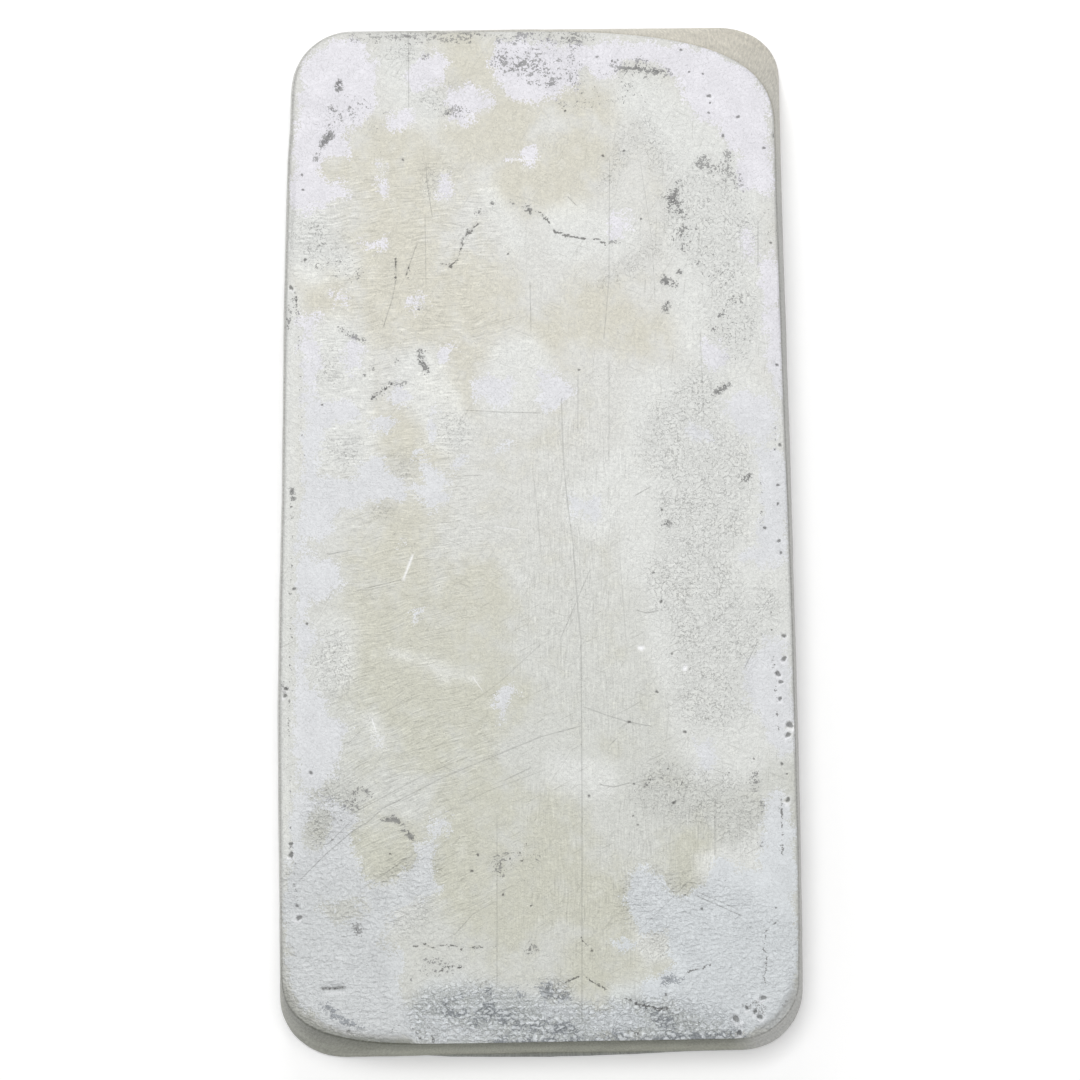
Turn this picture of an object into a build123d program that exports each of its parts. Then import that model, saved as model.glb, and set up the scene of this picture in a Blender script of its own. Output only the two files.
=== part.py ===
from build123d import *
from math import cos, radians, tan
import os

# A cast silver ingot, poured in an open mould and turned out onto its pour face, so that the face
# from the mould's floor is up. Millimetres and degrees. +Y runs along the bar to its narrow end,
# +X to its right side, +Z is up, and the origin is on the floor, under the middle of the bar's box.

# The rim, the largest outline of the bar, just above the floor
bar_length = 118.6
bar_thickness = 14.45
wide_end_width = 60.0
narrow_end_width = 56.2
narrow_end_shift = -0.9         # how far its middle lies to the right of the wide end's middle
narrow_end_skew = 0.5           # how much further out its right corner lies than its left one
wide_end_skew = -1.0            # the same at the wide end, where the right corner lies further in
belly_swell = 0.8               # how far the left side stands out from a straight line
belly_from_wide_end = 35.3

# The walls lean in towards the face, so that the bar left its mould
end_draft = 6.9
left_draft = 2.5
right_draft = 4.1

# How far the curve at each corner reaches, along the end and along the side
rim_corner_reach = 7.0
rim_narrow_right_reach = 5.4
tight_corner_reach = 6.6
narrow_right_end_reach = 28.0
narrow_right_side_reach = 11.0
wide_left_end_reach = 17.0
wide_left_side_reach = 8.0
belly_reach_share = 0.9             # of the straight run that the wide end's left corner leaves free
round_weight = cos(radians(45))     # makes the curve at a square corner a quarter of a circle
full_weight = 1.15                  # holds a long curve close to its corner

# Edges
face_edge_radius = 0.5
rim_edge_radius = 0.8

# The shrink hollow of the pour face
hollow_length = 84.0
hollow_width = 34.0
hollow_depth = 0.45
cut_overrun = 2.0


def cast_outline(plane, corners, reaches, weights):
    """A closed outline on the plane: straight sides, with a conic at each corner."""
    corners = [Vector(corner) for corner in corners]
    arrivals = []
    departures = []
    for index, corner in enumerate(corners):
        before = corners[index - 1]
        after = corners[(index + 1) % len(corners)]
        reach_before, reach_after = reaches[index]
        arrivals.append(corner + (before - corner).normalized() * reach_before)
        departures.append(corner + (after - corner).normalized() * reach_after)
    with BuildSketch(plane) as outline:
        with BuildLine():
            for index, corner in enumerate(corners):
                Line(departures[index - 1], arrivals[index])
                Bezier(arrivals[index], corner, departures[index], weights=[1, weights[index], 1])
        make_face()
    return outline.sketch


# How far the walls lean in, from the rim to the face
end_lean = bar_thickness * tan(radians(end_draft))
left_lean = bar_thickness * tan(radians(left_draft))
right_lean = bar_thickness * tan(radians(right_draft))

# The rim's corners, clockwise from the narrow end's left corner, and the belly of the left side
half_length = bar_length / 2
narrow_left = Vector(narrow_end_shift - narrow_end_width / 2, half_length - narrow_end_skew)
narrow_right = Vector(narrow_end_shift + narrow_end_width / 2, half_length)
wide_right = Vector(wide_end_width / 2, -half_length - wide_end_skew)
wide_left = Vector(-wide_end_width / 2, -half_length)
belly_place = wide_left + (narrow_left - wide_left) * (belly_from_wide_end / bar_length)
belly = belly_place - Vector(belly_swell, 0)
belly_reach = belly_reach_share * (belly_from_wide_end - end_lean - wide_left_side_reach)
rim_corners = [narrow_left, narrow_right, wide_right, wide_left, belly]
rim_reaches = [
    (rim_corner_reach, rim_corner_reach),
    (rim_narrow_right_reach, rim_narrow_right_reach),
    (rim_corner_reach, rim_corner_reach),
    (rim_corner_reach, rim_corner_reach),
    (belly_reach, belly_reach),
]
rim_weights = [round_weight, round_weight, round_weight, round_weight, full_weight]

# The face's corners, drawn in from the rim by the walls' lean
face_corners = [
    narrow_left + Vector(left_lean, -end_lean),
    narrow_right + Vector(-right_lean, -end_lean),
    wide_right + Vector(-right_lean, end_lean),
    wide_left + Vector(left_lean, end_lean),
    belly + Vector(left_lean, 0),
]
face_reaches = [
    (tight_corner_reach, tight_corner_reach),
    (narrow_right_end_reach, narrow_right_side_reach),
    (tight_corner_reach, tight_corner_reach),
    (wide_left_end_reach, wide_left_side_reach),
    (belly_reach, belly_reach),
]
face_weights = [round_weight, full_weight, round_weight, full_weight, full_weight]

# The hollow is a shallow trough, part of a turned shape with its axis far below the bar
hollow_turn_radius = ((hollow_width / 2) ** 2 + hollow_depth**2) / (2 * hollow_depth)
hollow_axis = Axis((0, 0, hollow_depth - hollow_turn_radius), (0, 1, 0))

rim_outline = cast_outline(Plane.XY, rim_corners, rim_reaches, rim_weights)
face_plane = Plane.XY.offset(bar_thickness)
face_outline = cast_outline(face_plane, face_corners, face_reaches, face_weights)

with BuildPart() as ingot:
    loft([rim_outline, face_outline], ruled=True)
    fillet(ingot.faces().sort_by(Axis.Z)[0].edges(), rim_edge_radius)
    fillet(ingot.faces().sort_by(Axis.Z)[-1].edges(), face_edge_radius)
    with BuildSketch(Plane.YZ):
        with BuildLine():
            arch = ThreePointArc((-hollow_length / 2, 0), (0, hollow_depth), (hollow_length / 2, 0))
            Polyline(
                arch @ 1,
                (hollow_length / 2, -cut_overrun),
                (-hollow_length / 2, -cut_overrun),
                arch @ 0,
            )
        make_face()
    revolve(axis=hollow_axis, mode=Mode.SUBTRACT)

# Stand the bar with the middle of its box over the origin
box = ingot.part.bounding_box()
ingot.part = ingot.part.moved(Location((-box.center().X, -box.center().Y, 0)))
ingot.part.label = "ingot"

os.makedirs("parts", exist_ok=True)
export_step(ingot.part, "parts/ingot.step")
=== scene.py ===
from math import cos, hypot, pi, radians, sin

import bpy
import numpy as np
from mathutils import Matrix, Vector, noise
from mathutils.bvhtree import BVHTree
from mathutils.geometry import delaunay_2d_cdt

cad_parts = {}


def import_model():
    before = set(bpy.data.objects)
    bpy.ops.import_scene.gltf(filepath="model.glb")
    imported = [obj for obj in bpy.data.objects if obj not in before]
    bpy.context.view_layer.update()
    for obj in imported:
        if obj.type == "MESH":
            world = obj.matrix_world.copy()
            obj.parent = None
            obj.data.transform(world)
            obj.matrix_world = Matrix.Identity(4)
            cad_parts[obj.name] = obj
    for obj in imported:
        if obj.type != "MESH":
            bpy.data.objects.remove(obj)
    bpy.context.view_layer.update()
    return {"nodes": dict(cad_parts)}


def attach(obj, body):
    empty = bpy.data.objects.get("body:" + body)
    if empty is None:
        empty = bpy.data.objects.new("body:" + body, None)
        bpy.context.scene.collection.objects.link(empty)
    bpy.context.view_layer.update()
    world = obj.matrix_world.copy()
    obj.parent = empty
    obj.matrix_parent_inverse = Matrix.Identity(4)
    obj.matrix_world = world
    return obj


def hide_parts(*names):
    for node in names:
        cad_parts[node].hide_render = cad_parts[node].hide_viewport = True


# A cast silver ingot on a white floor. The frame is in metres, the work on the mesh in millimetres.
MM = 0.001
FACE_HEIGHT = 14.45
FACE_EDGE = 0.5
RIM_EDGE = 0.8

# The camera, and the photograph's side in pixels
PICTURE = 1080
LENS = 240.0
SENSOR = 36.0
CAMERA_DISTANCE = 825.7
CAMERA_TILT = 2.5
CAMERA_AIM = (0.07, 0.07, 1.5)

# Marks are placed by the pixel of the photograph in which they lie, x to the right and y down.
# An outline is a run of corners (x, y); a stroke is a run of (x, y, radius).

# Clean frosted silver, outlined from the far end to the near end
FROST = [
    [(304, 62), (313, 50), (326, 42), (340, 38), (352, 37), (362, 42), (366, 50), (372, 58),
     (378, 66), (376, 78), (372, 90), (378, 96), (380, 104), (370, 112), (362, 122), (352, 130),
     (345, 138), (352, 148), (346, 158), (328, 160), (320, 163), (322, 172), (330, 179), (342, 182),
     (348, 188), (349, 196), (342, 201), (330, 205), (318, 208), (304, 212), (295, 208), (292, 190),
     (293, 160), (295, 130), (297, 100), (300, 75)],
    [(428, 54), (436, 50), (444, 56), (447, 66), (446, 78), (440, 84), (430, 86), (420, 92),
     (412, 92), (408, 84), (408, 72), (414, 62)],
    [(385, 118), (392, 112), (404, 109), (416, 106), (418, 116), (416, 124), (405, 126), (398, 132),
     (388, 131)],
    [(444, 98), (455, 86), (470, 83), (482, 90), (490, 98), (495, 104), (486, 114), (475, 120),
     (462, 124), (448, 122), (446, 114), (456, 110), (442, 106)],
    [(496, 42), (510, 40), (540, 38), (575, 45), (590, 45), (600, 38), (640, 40), (660, 42),
     (690, 46), (720, 54), (745, 66), (760, 80), (768, 100), (772, 130), (773, 180), (768, 196),
     (760, 194), (750, 190), (742, 186), (738, 178), (740, 160), (735, 150), (728, 140), (718, 130),
     (706, 122), (690, 112), (682, 98), (680, 88), (676, 78), (668, 72), (660, 70), (650, 64),
     (640, 60), (625, 62), (616, 70), (612, 80), (600, 82), (590, 76), (583, 72), (580, 82),
     (570, 92), (555, 96), (545, 100), (530, 104), (515, 100), (505, 92), (498, 84), (492, 70),
     (492, 55)],
    [(374, 160), (380, 168), (384, 178), (388, 194), (381, 196), (377, 184), (373, 172)],
    [(440, 182), (447, 177), (453, 190), (449, 201), (441, 198)],
    [(363, 240), (385, 238), (385, 248), (371, 252), (363, 248)],
    [(525, 150), (535, 146), (538, 158), (528, 162), (505, 160), (516, 157)],
    [(608, 222), (612, 212), (626, 212), (630, 224), (622, 236), (612, 238)],
    [(738, 240), (745, 228), (750, 236), (756, 250), (752, 262), (742, 258)],
    [(762, 262), (772, 246), (779, 262), (783, 300), (785, 345), (785, 398), (774, 400), (768, 372),
     (768, 340), (762, 300)],
    [(300, 314), (316, 311), (323, 318), (313, 336), (302, 340)],
    [(302, 340), (318, 342), (318, 372), (312, 400), (330, 400), (352, 400), (360, 412), (352, 424),
     (330, 424), (322, 440), (322, 470), (330, 478), (352, 476), (360, 466), (372, 456), (383, 455),
     (384, 468), (392, 474), (400, 478), (408, 490), (402, 500), (388, 502), (372, 500), (356, 506),
     (344, 512), (340, 520), (340, 536), (330, 540), (300, 545), (298, 520), (304, 480), (304, 440),
     (303, 400)],
    [(341, 352), (354, 339), (365, 350), (362, 364), (350, 373), (340, 366)],
    [(387, 392), (396, 385), (407, 390), (411, 401), (400, 405), (389, 401)],
    [(371, 420), (382, 415), (395, 422), (388, 431), (375, 431)],
    [(415, 452), (424, 456), (432, 468), (444, 472), (448, 480), (446, 490), (450, 496), (440, 508),
     (430, 512), (424, 506), (416, 496), (412, 488), (422, 484), (420, 472)],
    [(429, 406), (435, 405), (435, 440), (429, 441)],
    [(453, 465), (462, 453), (471, 456), (466, 465), (456, 469)],
    [(474, 384), (488, 374), (508, 379), (520, 386), (514, 398), (500, 409), (486, 404), (476, 398)],
    [(500, 440), (513, 442), (506, 451), (495, 452)],
    [(333, 294), (345, 291), (345, 303), (335, 303)],
    [(409, 298), (419, 296), (423, 306), (416, 313)],
    [(439, 350), (456, 345), (450, 361), (441, 363)],
    [(538, 372), (556, 371), (568, 382), (575, 392), (568, 401), (556, 407), (546, 409), (538, 400)],
    [(703, 345), (716, 339), (727, 348), (724, 360), (714, 373), (705, 368)],
    [(722, 398), (740, 390), (756, 396), (772, 398), (778, 420), (776, 440), (760, 444), (745, 440),
     (735, 425), (724, 420)],
    [(683, 426), (696, 423), (707, 430), (709, 441), (693, 443)],
    [(569, 498), (586, 497), (600, 500), (603, 516), (590, 521), (571, 517)],
    [(296, 545), (312, 540), (316, 560), (328, 562), (338, 566), (344, 580), (342, 590), (330, 596),
     (312, 600), (308, 620), (316, 630), (324, 640), (312, 650), (304, 660), (306, 680), (318, 690),
     (328, 700), (334, 716), (344, 722), (352, 728), (346, 740), (342, 752), (334, 764), (336, 776),
     (322, 786), (300, 792), (296, 770), (294, 740), (293, 700), (295, 660), (296, 600)],
    [(413, 612), (421, 611), (420, 619), (413, 620)],
    [(395, 547), (404, 545), (405, 551), (396, 552)],
    [(496, 692), (504, 687), (517, 683), (513, 696), (509, 708), (505, 720), (499, 723), (497, 708)],
    [(375, 739), (382, 737), (383, 746), (376, 746)],
    [(756, 450), (776, 446), (786, 470), (788, 520), (790, 558), (764, 566), (744, 560), (740, 556),
     (756, 545), (760, 520), (758, 480)],
    [(742, 672), (756, 652), (766, 636), (786, 640), (792, 700), (795, 745), (780, 752), (768, 742),
     (762, 715), (748, 702)],
    [(698, 742), (712, 741), (717, 756), (712, 771), (697, 769)],
    [(294, 790), (310, 792), (322, 800), (334, 800), (346, 806), (354, 816), (364, 821), (350, 832),
     (352, 846), (358, 856), (362, 868), (372, 884), (384, 886), (398, 876), (408, 866), (414, 856),
     (416, 846), (424, 842), (430, 838), (428, 828), (432, 818), (442, 811), (449, 818), (451, 828),
     (440, 838), (434, 848), (436, 860), (434, 872), (438, 884), (440, 892), (430, 898), (415, 900),
     (404, 906), (395, 916), (386, 926), (384, 940), (392, 948), (402, 952), (404, 970), (403, 996),
     (408, 1010), (420, 1024), (418, 1040), (380, 1042), (345, 1037), (318, 1021), (298, 1000),
     (287, 980), (284, 930), (285, 880), (290, 840)],
    [(626, 872), (640, 868), (656, 870), (666, 878), (672, 890), (684, 894), (700, 888), (704, 880),
     (714, 866), (724, 860), (736, 866), (748, 868), (758, 868), (762, 850), (762, 830), (766, 800),
     (772, 792), (782, 790), (790, 800), (794, 840), (797, 880), (799, 930), (800, 975), (797, 1000),
     (786, 1018), (770, 1030), (745, 1036), (720, 1030), (700, 1022), (682, 1008), (665, 1000),
     (650, 1000), (640, 990), (642, 980), (655, 976), (664, 970), (673, 963), (668, 955), (668, 944),
     (664, 935), (656, 931), (648, 936), (640, 938), (634, 926), (626, 912)],
    [(603, 940), (615, 937), (630, 940), (635, 946), (626, 953), (612, 949)],
    [(424, 1014), (440, 1016), (455, 1020), (466, 1028), (478, 1030), (494, 1028), (498, 1040),
     (430, 1042), (424, 1030)],
    [(536, 1004), (548, 1002), (562, 1003), (574, 1006), (576, 1018), (560, 1019), (545, 1016)],
    [(584, 1012), (600, 1008), (616, 1004), (630, 1008), (645, 1016), (652, 1026), (640, 1032),
     (600, 1034), (584, 1030)],
]

# Skin left inside the frosted outlines
ISLANDS = [
    [(322, 904), (340, 901), (360, 901), (369, 908), (360, 919), (345, 923), (330, 918)],
    [(306, 818), (322, 812), (330, 822), (328, 840), (318, 852), (308, 842)],
]

# Pale silver, where the yellow skin is thin
PALE = [
    [(400, 60, 20), (420, 105, 20)],
    [(640, 95, 20), (690, 140, 26), (715, 200, 46), (725, 330, 46)],
    [(303, 235, 24), (312, 270, 14)],
    [(488, 195, 6), (520, 240, 6)],
    [(570, 230, 26), (617, 235, 20)],
    [(330, 350, 30), (340, 440, 34)],
    [(420, 372, 22), (450, 432, 20)],
    [(520, 370, 30), (500, 400, 18)],
    [(715, 430, 66), (715, 520, 66), (712, 640, 62), (725, 740, 46)],
    [(770, 560, 24), (775, 650, 24), (780, 740, 20)],
    [(640, 480, 40), (600, 505, 30)],
    [(505, 560, 0), (520, 580, 0)],
    [(330, 640, 24), (330, 670, 22)],
    [(600, 778, 16), (560, 770, 12)],
    [(390, 905, 24), (420, 890, 14)],
    [(660, 940, 22)],
    [(640, 1010, 30), (700, 1020, 30)],
    [(450, 1010, 36), (520, 1020, 24), (580, 1025, 20)],
    [(285, 300, 12), (280, 600, 12), (280, 900, 12)],
    [(392, 653, -3), (415, 660, -1), (440, 670, 3), (476, 680, -3)],
    [(372, 720, 4), (380, 742, 4)],
    [(380, 165, -4), (384, 190, -4)],
    [(440, 182, 3), (446, 200, 2)],
    [(484, 178, 2), (492, 202, 0)],
    [(452, 150, -8), (430, 140, -8)],
    [(320, 255, 14), (345, 262, 10)],
    [(660, 400, 30), (650, 560, 30)],
    [(720, 870, 20), (770, 850, 20)],
]

# The yellow skin at its strongest
TARNISH = [
    [(395, 150, 24), (410, 200, 40), (400, 240, 34)],
    [(470, 60, 14), (468, 48, 8)],
    [(470, 135, 18), (500, 130, 20)],
    [(520, 180, 12), (575, 160, 18), (560, 180, 14)],
    [(590, 104, 10)],
    [(560, 98, 10)],
    [(330, 172, 8), (345, 165, 8)],
    [(320, 298, 10), (340, 300, 8)],
    [(400, 300, 30), (470, 300, 34)],
    [(590, 305, 12), (615, 310, 12), (560, 335, 12)],
    [(643, 335, 10)],
    [(450, 385, 18), (460, 360, 16)],
    [(400, 440, 20), (420, 445, 16)],
    [(410, 525, 20), (400, 560, 26), (370, 560, 16)],
    [(390, 620, 36), (400, 680, 40), (440, 720, 40), (480, 700, 24)],
    [(450, 640, 30), (470, 600, 26)],
    [(385, 850, 24), (380, 870, 14)],
    [(480, 820, 40), (470, 870, 30), (510, 900, 34)],
    [(550, 830, 20), (555, 900, 26), (600, 900, 24)],
    [(690, 850, 6), (685, 878, 4)],
    [(600, 960, 24), (660, 950, 14)],
]

# Fine grey crackling of the skin
GRAIN = [
    [(700, 210, 40), (720, 240, 40)],
    [(735, 310, 28), (730, 340, 20)],
    [(600, 190, 2), (640, 125, 8), (665, 165, 10)],
    [(600, 285, 2), (650, 250, 10)],
    [(700, 385, 20), (680, 440, 40), (710, 460, 40), (700, 520, 44)],
    [(690, 580, 40), (720, 640, 44), (710, 690, 40)],
    [(765, 605, 16)],
    [(560, 60, 30)],
    [(330, 120, 20)],
    [(395, 50, 14), (410, 60, 10)],
    [(430, 95, 16), (455, 90, 12)],
    [(438, 180, 12)],
    [(310, 240, 18), (330, 250, 16)],
    [(328, 370, 16)],
    [(345, 450, 16)],
    [(400, 468, 12)],
    [(325, 490, 10)],
    [(385, 508, 8)],
    [(452, 433, 18)],
    [(330, 650, 22), (335, 680, 18)],
    [(330, 790, 18), (320, 835, 14)],
    [(665, 790, 30), (720, 800, 30), (740, 820, 24)],
    [(660, 940, 20)],
]

# Dark grime
GRIME = [
    [(339, 82, 4.6), (338, 88, 5.4)],
    [(330, 136, 5.5), (323, 143, 4.5), (317, 154, 2.5), (315, 161, 1.5)],
    [(333, 110, 3)],
    [(341, 118, 2)],
    [(330, 125, 3)],
    [(349, 107, 2.5), (352, 113, 2.5)],
    [(359, 103, 2)],
    [(385, 113, 2)],
    [(440, 111, 2), (447, 113, 3.4), (456, 111, 2), (467, 112, 2)],
    [(386, 37, 3), (400, 36, 2.5), (418, 37, 2)],
    [(560, 38, 3), (575, 42, 2.5)],
    [(516, 49, 2.6)],
    [(504, 58, 3)],
    [(496, 56, 2)],
    [(510, 70, 3.4), (518, 66, 3.4), (526, 60, 2.6)],
    [(514, 76, 2.4), (524, 72, 2.4)],
    [(536, 64, 1.2), (548, 70, 1.6), (552, 62, 1.2), (562, 58, 1.2), (574, 62, 1.4)],
    [(532, 78, 1.4), (540, 86, 2.4), (554, 84, 1.2)],
    [(560, 74, 1.2), (572, 72, 1.8), (578, 82, 1.0)],
    [(540, 52, 1.0), (560, 50, 1.2)],
    [(425, 58, 3), (428, 53, 2)],
    [(619, 69, 2.5), (638, 68, 4.4), (650, 71, 5.2), (664, 72, 3.2)],
    [(643, 77, 1.5), (650, 79, 1.5)],
    [(706, 164, 0.5), (716, 167, 1.5), (724, 176, 0.5), (736, 182, 0)],
    [(729, 156, 0.5)],
    [(677, 176, 0.5), (677, 190, 3.0), (672, 200, 6.4), (679, 211, 4.6)],
    [(684, 205, 1.5)],
    [(683, 249, 5.6)],
    [(697, 264, 3)],
    [(680, 272, 4.8)],
    [(664, 281, 5), (676, 284, 4)],
    [(610, 243, 2.2), (619, 242, 2.2)],
    [(477, 211, 4.6)],
    [(492, 204, 3.6)],
    [(512, 204, 3.8)],
    [(526, 207, 4.4), (530, 212, 3)],
    [(338, 329, 1), (352, 335, 2.4), (364, 341, 2.4)],
    [(420, 350, 4), (421, 359, 5.4), (427, 371, 4)],
    [(372, 399, 3), (380, 392, 3), (389, 385, 2.5), (408, 383, 2)],
    [(373, 368, 2.2)],
    [(365, 376, 2.2)],
    [(397, 361, 1.8)],
    [(300, 418, 2.6)],
    [(292, 488, 3), (293, 500, 3)],
    [(288, 314, 2), (288, 327, 2)],
    [(295, 293, 1.8), (295, 305, 2.4), (297, 314, 1.6)],
    [(394, 533, 2.6)],
    [(665, 311, 3.6), (668, 303, 3)],
    [(720, 316, 3.4)],
    [(714, 330, 3.4)],
    [(715, 394, 3.6), (721, 391, 5), (728, 386, 3.6)],
    [(745, 480, 3.6), (750, 475, 3.2)],
    [(661, 526, 2.2), (668, 523, 3.2), (672, 520, 1.8)],
    [(746, 778, 1), (756, 782, 2.5), (766, 783, 1)],
    [(646, 784, 1.6), (653, 779, 1.6), (665, 777, 1), (676, 780, 1.4), (683, 786, 0.8)],
    [(720, 776, 2), (732, 772, 1.8)],
    [(693, 598, 0.5)],
    [(366, 791, 4.4)],
    [(378, 821, 2), (393, 818, 5), (402, 823, 2)],
    [(401, 829, 2.6), (409, 834, 3), (414, 841, 2.4)],
    [(333, 817, 3)],
    [(357, 931, 3.6)],
    [(435, 970, 3.4)],
    [(461, 967, 2)],
    [(411, 979, 2.6)],
    [(530, 948, 4.2)],
    [(499, 865, 2.6)],
    [(781, 1006, 2.4), (788, 1002, 3), (795, 998, 4)],
    [(762, 803, 2.6), (762, 812, 2)],
    [(761, 845, 2.6)],
]

# Flecks of the same grime, thick and then sparse
FLECKS = [
    [(503, 60, 11), (525, 68, 18), (560, 64, 20), (576, 74, 12)],
    [(352, 36, 5), (420, 36, 6), (500, 37, 6), (560, 38, 8), (590, 38, 6)],
    [(438, 111, 6), (468, 111, 5)],
    [(618, 66, 6), (640, 68, 10), (664, 72, 7)],
    [(702, 162, 7), (720, 170, 9), (736, 180, 6)],
    [(728, 158, 7)],
    [(676, 182, 6), (674, 204, 10), (684, 212, 8)],
    [(688, 234, 10)],
    [(352, 336, 3), (364, 341, 3)],
    [(421, 358, 4), (426, 370, 2)],
    [(292, 300, 2), (288, 322, 2)],
    [(288, 688, 7)],
    [(756, 782, 9)],
    [(350, 805, 8), (366, 791, 8)],
    [(357, 930, 6)],
    [(500, 866, 10), (515, 858, 8)],
    [(530, 946, 8)],
    [(430, 968, 9), (450, 967, 8)],
    [(745, 1006, 3), (762, 1008, 6)],
]
SPARSE_FLECKS = [
    [(330, 118, 14), (352, 108, 14), (366, 108, 10), (376, 146, 10)],
    [(740, 200, 12), (760, 205, 14), (765, 232, 12)],
    [(690, 230, 18), (690, 262, 16), (730, 265, 18)],
    [(728, 305, 16), (735, 345, 14)],
    [(320, 250, 20), (350, 270, 12)],
    [(318, 832, 14), (340, 795, 14)],
    [(560, 90, 20), (640, 80, 20)],
    [(520, 860, 20)],
]

# Blue grey cold shuts at the near end, in outline
COLD_SHUT = [
    [(430, 1006), (440, 1010), (460, 1012), (478, 1006), (490, 998), (497, 1000), (500, 1012),
     (490, 1020), (476, 1026), (466, 1022), (450, 1016), (436, 1013)],
    [(440, 1000), (455, 996), (470, 990), (482, 986), (494, 988), (498, 998), (486, 996), (472, 996),
     (456, 1001), (446, 1005)],
    [(541, 988), (548, 982), (560, 984), (566, 992), (574, 1000), (560, 1001), (546, 999)],
    [(508, 990), (520, 988), (531, 992), (526, 998), (512, 997)],
    [(500, 1008), (510, 1014), (524, 1020), (545, 1020), (560, 1022), (576, 1024), (580, 1034),
     (560, 1034), (540, 1034), (524, 1032), (506, 1030), (496, 1020)],
    [(632, 1001), (648, 1004), (662, 1009), (676, 1019), (672, 1028), (660, 1030), (652, 1022),
     (640, 1010)],
    [(476, 1040), (500, 1035), (560, 1037), (620, 1033), (680, 1031), (744, 1030), (752, 1036),
     (740, 1046), (500, 1048), (470, 1046)],
    [(660, 976), (672, 973), (688, 977), (682, 984), (668, 984)],
    [(320, 1003), (328, 1004), (342, 1016), (362, 1028), (350, 1028), (334, 1016)],
]

# Rough, sandy casting skin, the wrinkled skin where the metal last ran, and its ripples
SAND = [
    [(320, 900, 50), (330, 960, 60), (350, 1010, 50)],
    [(400, 900, 34), (420, 870, 20)],
    [(650, 900, 30), (720, 930, 50), (760, 960, 50)],
    [(730, 1000, 60)],
    [(330, 820, 30)],
]
WRINKLE = [
    [(432, 1018, 24), (480, 1012, 26), (530, 1026, 22), (600, 1028, 20), (660, 1022, 22),
     (720, 1028, 16)],
    [(556, 994, 10)],
]
RIPPLE = [
    [(640, 890, 16), (655, 912, 18), (690, 904, 14), (740, 900, 12)],
]

# Brush marks: nearly level, slanting and upright
LEVEL_BRUSH = [
    [(340, 220, 60), (420, 230, 80), (400, 320, 80), (380, 420, 70), (420, 540, 70), (400, 620, 60)],
]
SLANT_BRUSH = [
    [(380, 690, 70), (430, 760, 80), (380, 840, 70), (460, 860, 60)],
    [(430, 330, 40), (480, 340, 30)],
]
UPRIGHT_BRUSH = [
    [(520, 820, 50), (560, 900, 60), (600, 920, 50), (660, 830, 50), (700, 850, 40)],
    [(580, 450, 50), (570, 560, 50), (560, 650, 50), (620, 700, 50)],
]

# Cracks, each a run of points with its half width and its darkness
CRACKS = [
    ([(480, 222), (470, 231), (466, 236), (461, 249), (457, 260), (449, 267), (441, 264)], 1.7, 0.8),
    ([(548, 224), (556, 232), (566, 234), (581, 239), (597, 239), (605, 242)], 1.8, 0.9),
    ([(536, 212), (547, 220)], 1.7, 0.7),
    ([(415, 946), (428, 946), (451, 945), (459, 947), (477, 948), (496, 948)], 1.7, 0.75),
    ([(432, 971), (442, 969), (465, 967)], 1.8, 0.8),
    ([(560, 985), (573, 979), (580, 976)], 2.2, 0.8),
    ([(586, 977), (598, 986), (609, 988)], 1.7, 0.75),
    ([(622, 997), (636, 1003), (650, 1007), (667, 1009)], 2.4, 0.9),
    ([(626, 1031), (638, 1033)], 1.6, 0.8),
    ([(778, 920), (766, 931), (764, 946), (767, 960), (764, 983)], 2.0, 0.7),
    ([(391, 1029), (402, 1024)], 1.6, 0.75),
    ([(413, 1029), (420, 1041)], 1.6, 0.7),
    ([(427, 1026), (435, 1043)], 1.8, 0.7),
    ([(688, 972), (710, 965)], 1.8, 0.8),
    ([(395, 257), (396, 270), (395, 280)], 1.8, 0.7),
    ([(408, 266), (406, 280)], 1.6, 0.6),
    ([(372, 399), (383, 390), (392, 384)], 1.8, 0.75),
    ([(418, 320), (420, 300)], 1.6, 0.5),
    ([(580, 938), (592, 950)], 1.8, 0.55),
]

# Rows of dark specks at the foot of the worn shoulders, in the same form
SPECK_ROWS = [
    ([(296, 284), (297, 320), (300, 360), (301, 420), (303, 460)], 3.5, 0.36),
    ([(292, 486), (292, 540), (291, 600), (290, 660), (289, 700), (289, 760), (291, 800), (291, 850),
      (295, 880), (297, 900)], 4.0, 0.38),
    ([(287, 312), (287, 330)], 3.0, 0.3),
    ([(775, 418), (775, 470)], 3.0, 0.4),
    ([(761, 480), (762, 500), (761, 530)], 3.0, 0.46),
    ([(771, 600), (772, 640), (774, 665), (777, 700), (779, 730)], 3.5, 0.38),
    ([(781, 795), (782, 825), (783, 855)], 3.4, 0.56),
    ([(291, 824), (291, 850), (295, 880)], 3.2, 0.42),
    ([(290, 120), (288, 165), (286, 215), (284, 260)], 3.5, 0.3),
]

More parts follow.
